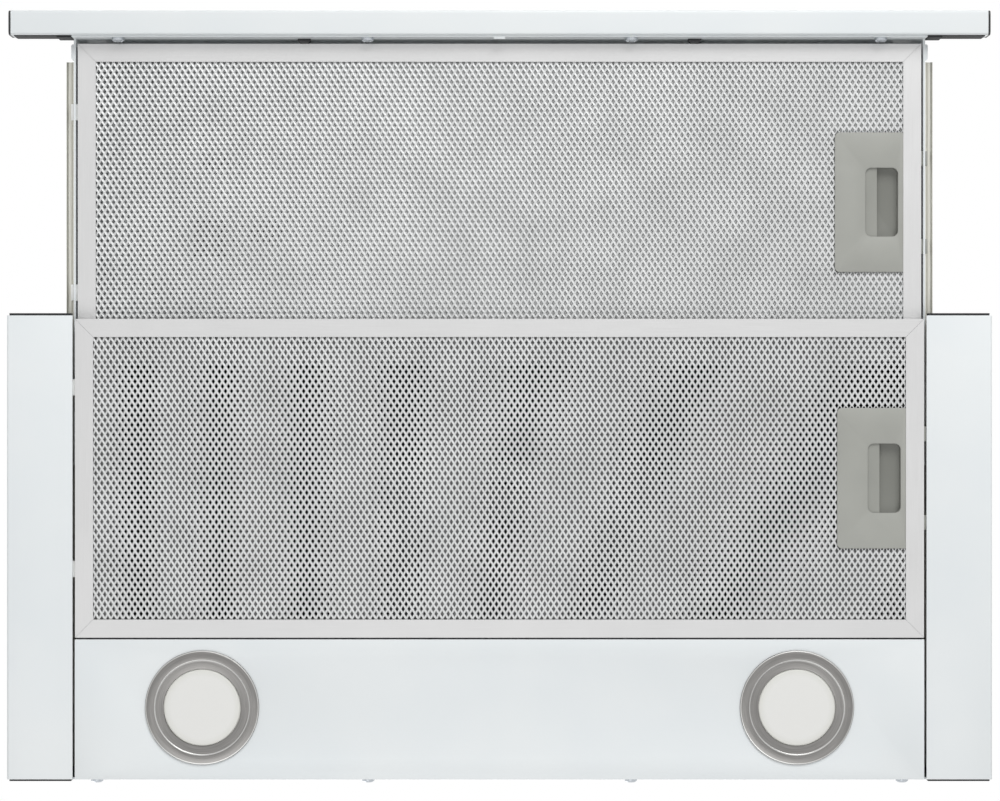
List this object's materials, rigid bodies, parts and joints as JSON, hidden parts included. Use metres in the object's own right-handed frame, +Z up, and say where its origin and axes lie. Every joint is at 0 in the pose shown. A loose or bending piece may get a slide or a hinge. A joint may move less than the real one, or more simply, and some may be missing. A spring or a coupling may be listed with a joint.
{
  "type": "under cabinet range hood",
  "caption": "Slide-out range hood for building in under a wall cabinet, with a telescopic filter drawer, mesh grease filters, lamps, blower and duct collar.",
  "frame": {"origin": "centre of the duct collar's mouth, on the collar's axis", "axes": "+X to the right along the fascia, -Y towards the front where the drawer runs out, +Z up along the duct collar's axis"},
  "size_m": [0.6, 0.4709, 0.2062],
  "materials": {
    "galvanised_sheet": "galvanised steel sheet, satin",
    "white_paint": "white powder coat, satin",
    "black_rubber": "matt",
    "zinc_screws": "zinc plated",
    "brushed_ring": "circular brushed",
    "frosted_lens": "frosted",
    "lamp_metal": "satin",
    "board_white": "solder mask",
    "rail_zinc": "zinc plated, rolled",
    "filter_frame_aluminium": "anodised satin",
    "mesh_aluminium": "expanded foil",
    "lug_white": "satin",
    "latch_grey": "moulded, fine texture",
    "latch_slider_grey": "moulded, fine texture",
    "spring_steel": "drawn wire",
    "scroll_plastic": "moulded",
    "motor_steel": "satin",
    "capacitor_case": "moulded",
    "box_plastic": "moulded",
    "terminal_white": "moulded",
    "gland_plastic": "moulded",
    "driver_white": "moulded",
    "switch_black": "moulded",
    "collar_plastic": "moulded",
    "pin_steel": "drawn",
    "cap_black": "moulded",
    "rivet_white": "painted",
    "bezel_grey": "moulded",
    "cage_brass": "yellow passivated",
    "impeller_plastic": "moulded",
    "shaft_steel": "ground",
    "flap_plastic": "moulded",
    "button_white": "moulded",
    "plunger_red": "moulded"
  },
  "bodies": {
    "hood": {"chassis": "galvanised_sheet", "motor_box": "galvanised_sheet", "light_panel": "white_paint", "left_wing": "white_paint", "right_wing": "white_paint", "wing_seals": "black_rubber", "panel_screws": "zinc_screws", "lamp_rings": "brushed_ring", "lamp_lenses": "frosted_lens", "lamp_cans": "lamp_metal", "led_boards": "board_white", "outer_rail_left": "rail_zinc", "outer_rail_right": "rail_zinc", "main_filter_frame": "filter_frame_aluminium", "main_filter_mesh": "mesh_aluminium", "main_filter_lugs": "lug_white", "main_latch_housing": "latch_grey", "main_latch_springs": "spring_steel", "scroll_left": "scroll_plastic", "scroll_right": "scroll_plastic", "motor_body": "motor_steel", "motor_bracket": "galvanised_sheet", "capacitor": "capacitor_case", "terminal_box": "box_plastic", "terminal_lid": "box_plastic", "terminal_block": "terminal_white", "cable_gland": "gland_plastic", "led_driver": "driver_white", "drawer_switch": "switch_black", "duct_collar": "collar_plastic", "flap_pin": "pin_steel"},
    "drawer": {"drawer_tray": "white_paint", "fascia": "white_paint", "fascia_end_caps": "cap_black", "fascia_seals": "black_rubber", "fascia_screws": "zinc_screws", "filter_clips": "cap_black", "tray_rivets": "rivet_white", "inner_rail_left": "rail_zinc", "inner_rail_right": "rail_zinc", "drawer_filter_frame": "filter_frame_aluminium", "drawer_filter_mesh": "mesh_aluminium", "drawer_filter_lugs": "lug_white", "drawer_latch_housing": "latch_grey", "drawer_latch_springs": "spring_steel", "button_bezel": "bezel_grey", "switch_block": "switch_black"},
    "cage_left": {"ball_cage_left": "cage_brass"},
    "cage_right": {"ball_cage_right": "cage_brass"},
    "main_latch": {"main_latch_slider": "latch_slider_grey"},
    "drawer_latch": {"drawer_latch_slider": "latch_slider_grey"},
    "fan": {"impeller": "impeller_plastic", "motor_shaft": "shaft_steel"},
    "front_flap": {"flap_front": "flap_plastic"},
    "rear_flap": {"flap_rear": "flap_plastic"},
    "light_button": {"button_light": "button_white"},
    "low_button": {"button_low": "button_white"},
    "medium_button": {"button_medium": "button_white"},
    "high_button": {"button_high": "button_white"},
    "plunger": {"switch_plunger": "plunger_red"}
  },
  "joints": [
    {"name": "drawer_slide", "type": "slide", "parent": "hood", "child": "drawer", "axis": [0, 1, 0], "range_m": [0, 0.1678]},
    {"name": "cage_left_slide", "type": "slide", "parent": "hood", "child": "cage_left", "axis": [0, 1, 0], "range_m": [0, 0.0839]},
    {"name": "cage_right_slide", "type": "slide", "parent": "hood", "child": "cage_right", "axis": [0, 1, 0], "range_m": [0, 0.0839]},
    {"name": "main_latch_slide", "type": "slide", "parent": "hood", "child": "main_latch", "axis": [-1, 0, 0], "range_m": [0, 0.0055], "stiffness_N_per_m": 300, "springref_m": -0.003, "deforming": ["main_latch_springs"]},
    {"name": "drawer_latch_slide", "type": "slide", "parent": "drawer", "child": "drawer_latch", "axis": [-1, 0, 0], "range_m": [0, 0.0055], "stiffness_N_per_m": 300, "springref_m": -0.003, "deforming": ["drawer_latch_springs"]},
    {"name": "fan_spin", "type": "hinge", "parent": "hood", "child": "fan", "pos_m": [0, 0.038, -0.101], "axis": [1, 0, 0], "continuous": true},
    {"name": "front_flap_hinge", "type": "hinge", "parent": "hood", "child": "front_flap", "pos_m": [0, 0, -0.02], "axis": [-1, 0, 0], "range_deg": [0, 80]},
    {"name": "rear_flap_hinge", "type": "hinge", "parent": "hood", "child": "rear_flap", "pos_m": [0, 0, -0.02], "axis": [1, 0, 0], "range_deg": [0, 80]},
    {"name": "light_button_press", "type": "slide", "parent": "drawer", "child": "light_button", "axis": [0, 1, 0], "range_m": [0, 0.0015], "stiffness_N_per_m": 200, "springref_m": -0.002},
    {"name": "low_button_press", "type": "slide", "parent": "drawer", "child": "low_button", "axis": [0, 1, 0], "range_m": [0, 0.0015], "stiffness_N_per_m": 200, "springref_m": -0.002},
    {"name": "medium_button_press", "type": "slide", "parent": "drawer", "child": "medium_button", "axis": [0, 1, 0], "range_m": [0, 0.0015], "stiffness_N_per_m": 200, "springref_m": -0.002},
    {"name": "high_button_press", "type": "slide", "parent": "drawer", "child": "high_button", "axis": [0, 1, 0], "range_m": [0, 0.0015], "stiffness_N_per_m": 200, "springref_m": -0.002},
    {"name": "plunger_press", "type": "slide", "parent": "hood", "child": "plunger", "axis": [0, 1, 0], "range_m": [0, 0.0012], "stiffness_N_per_m": 150, "springref_m": -0.002}
  ],
  "couplings": [
    {"joint": "cage_left_slide", "follows": "drawer_slide", "ratio": 0.5},
    {"joint": "cage_right_slide", "follows": "drawer_slide", "ratio": 0.5}
  ]
}
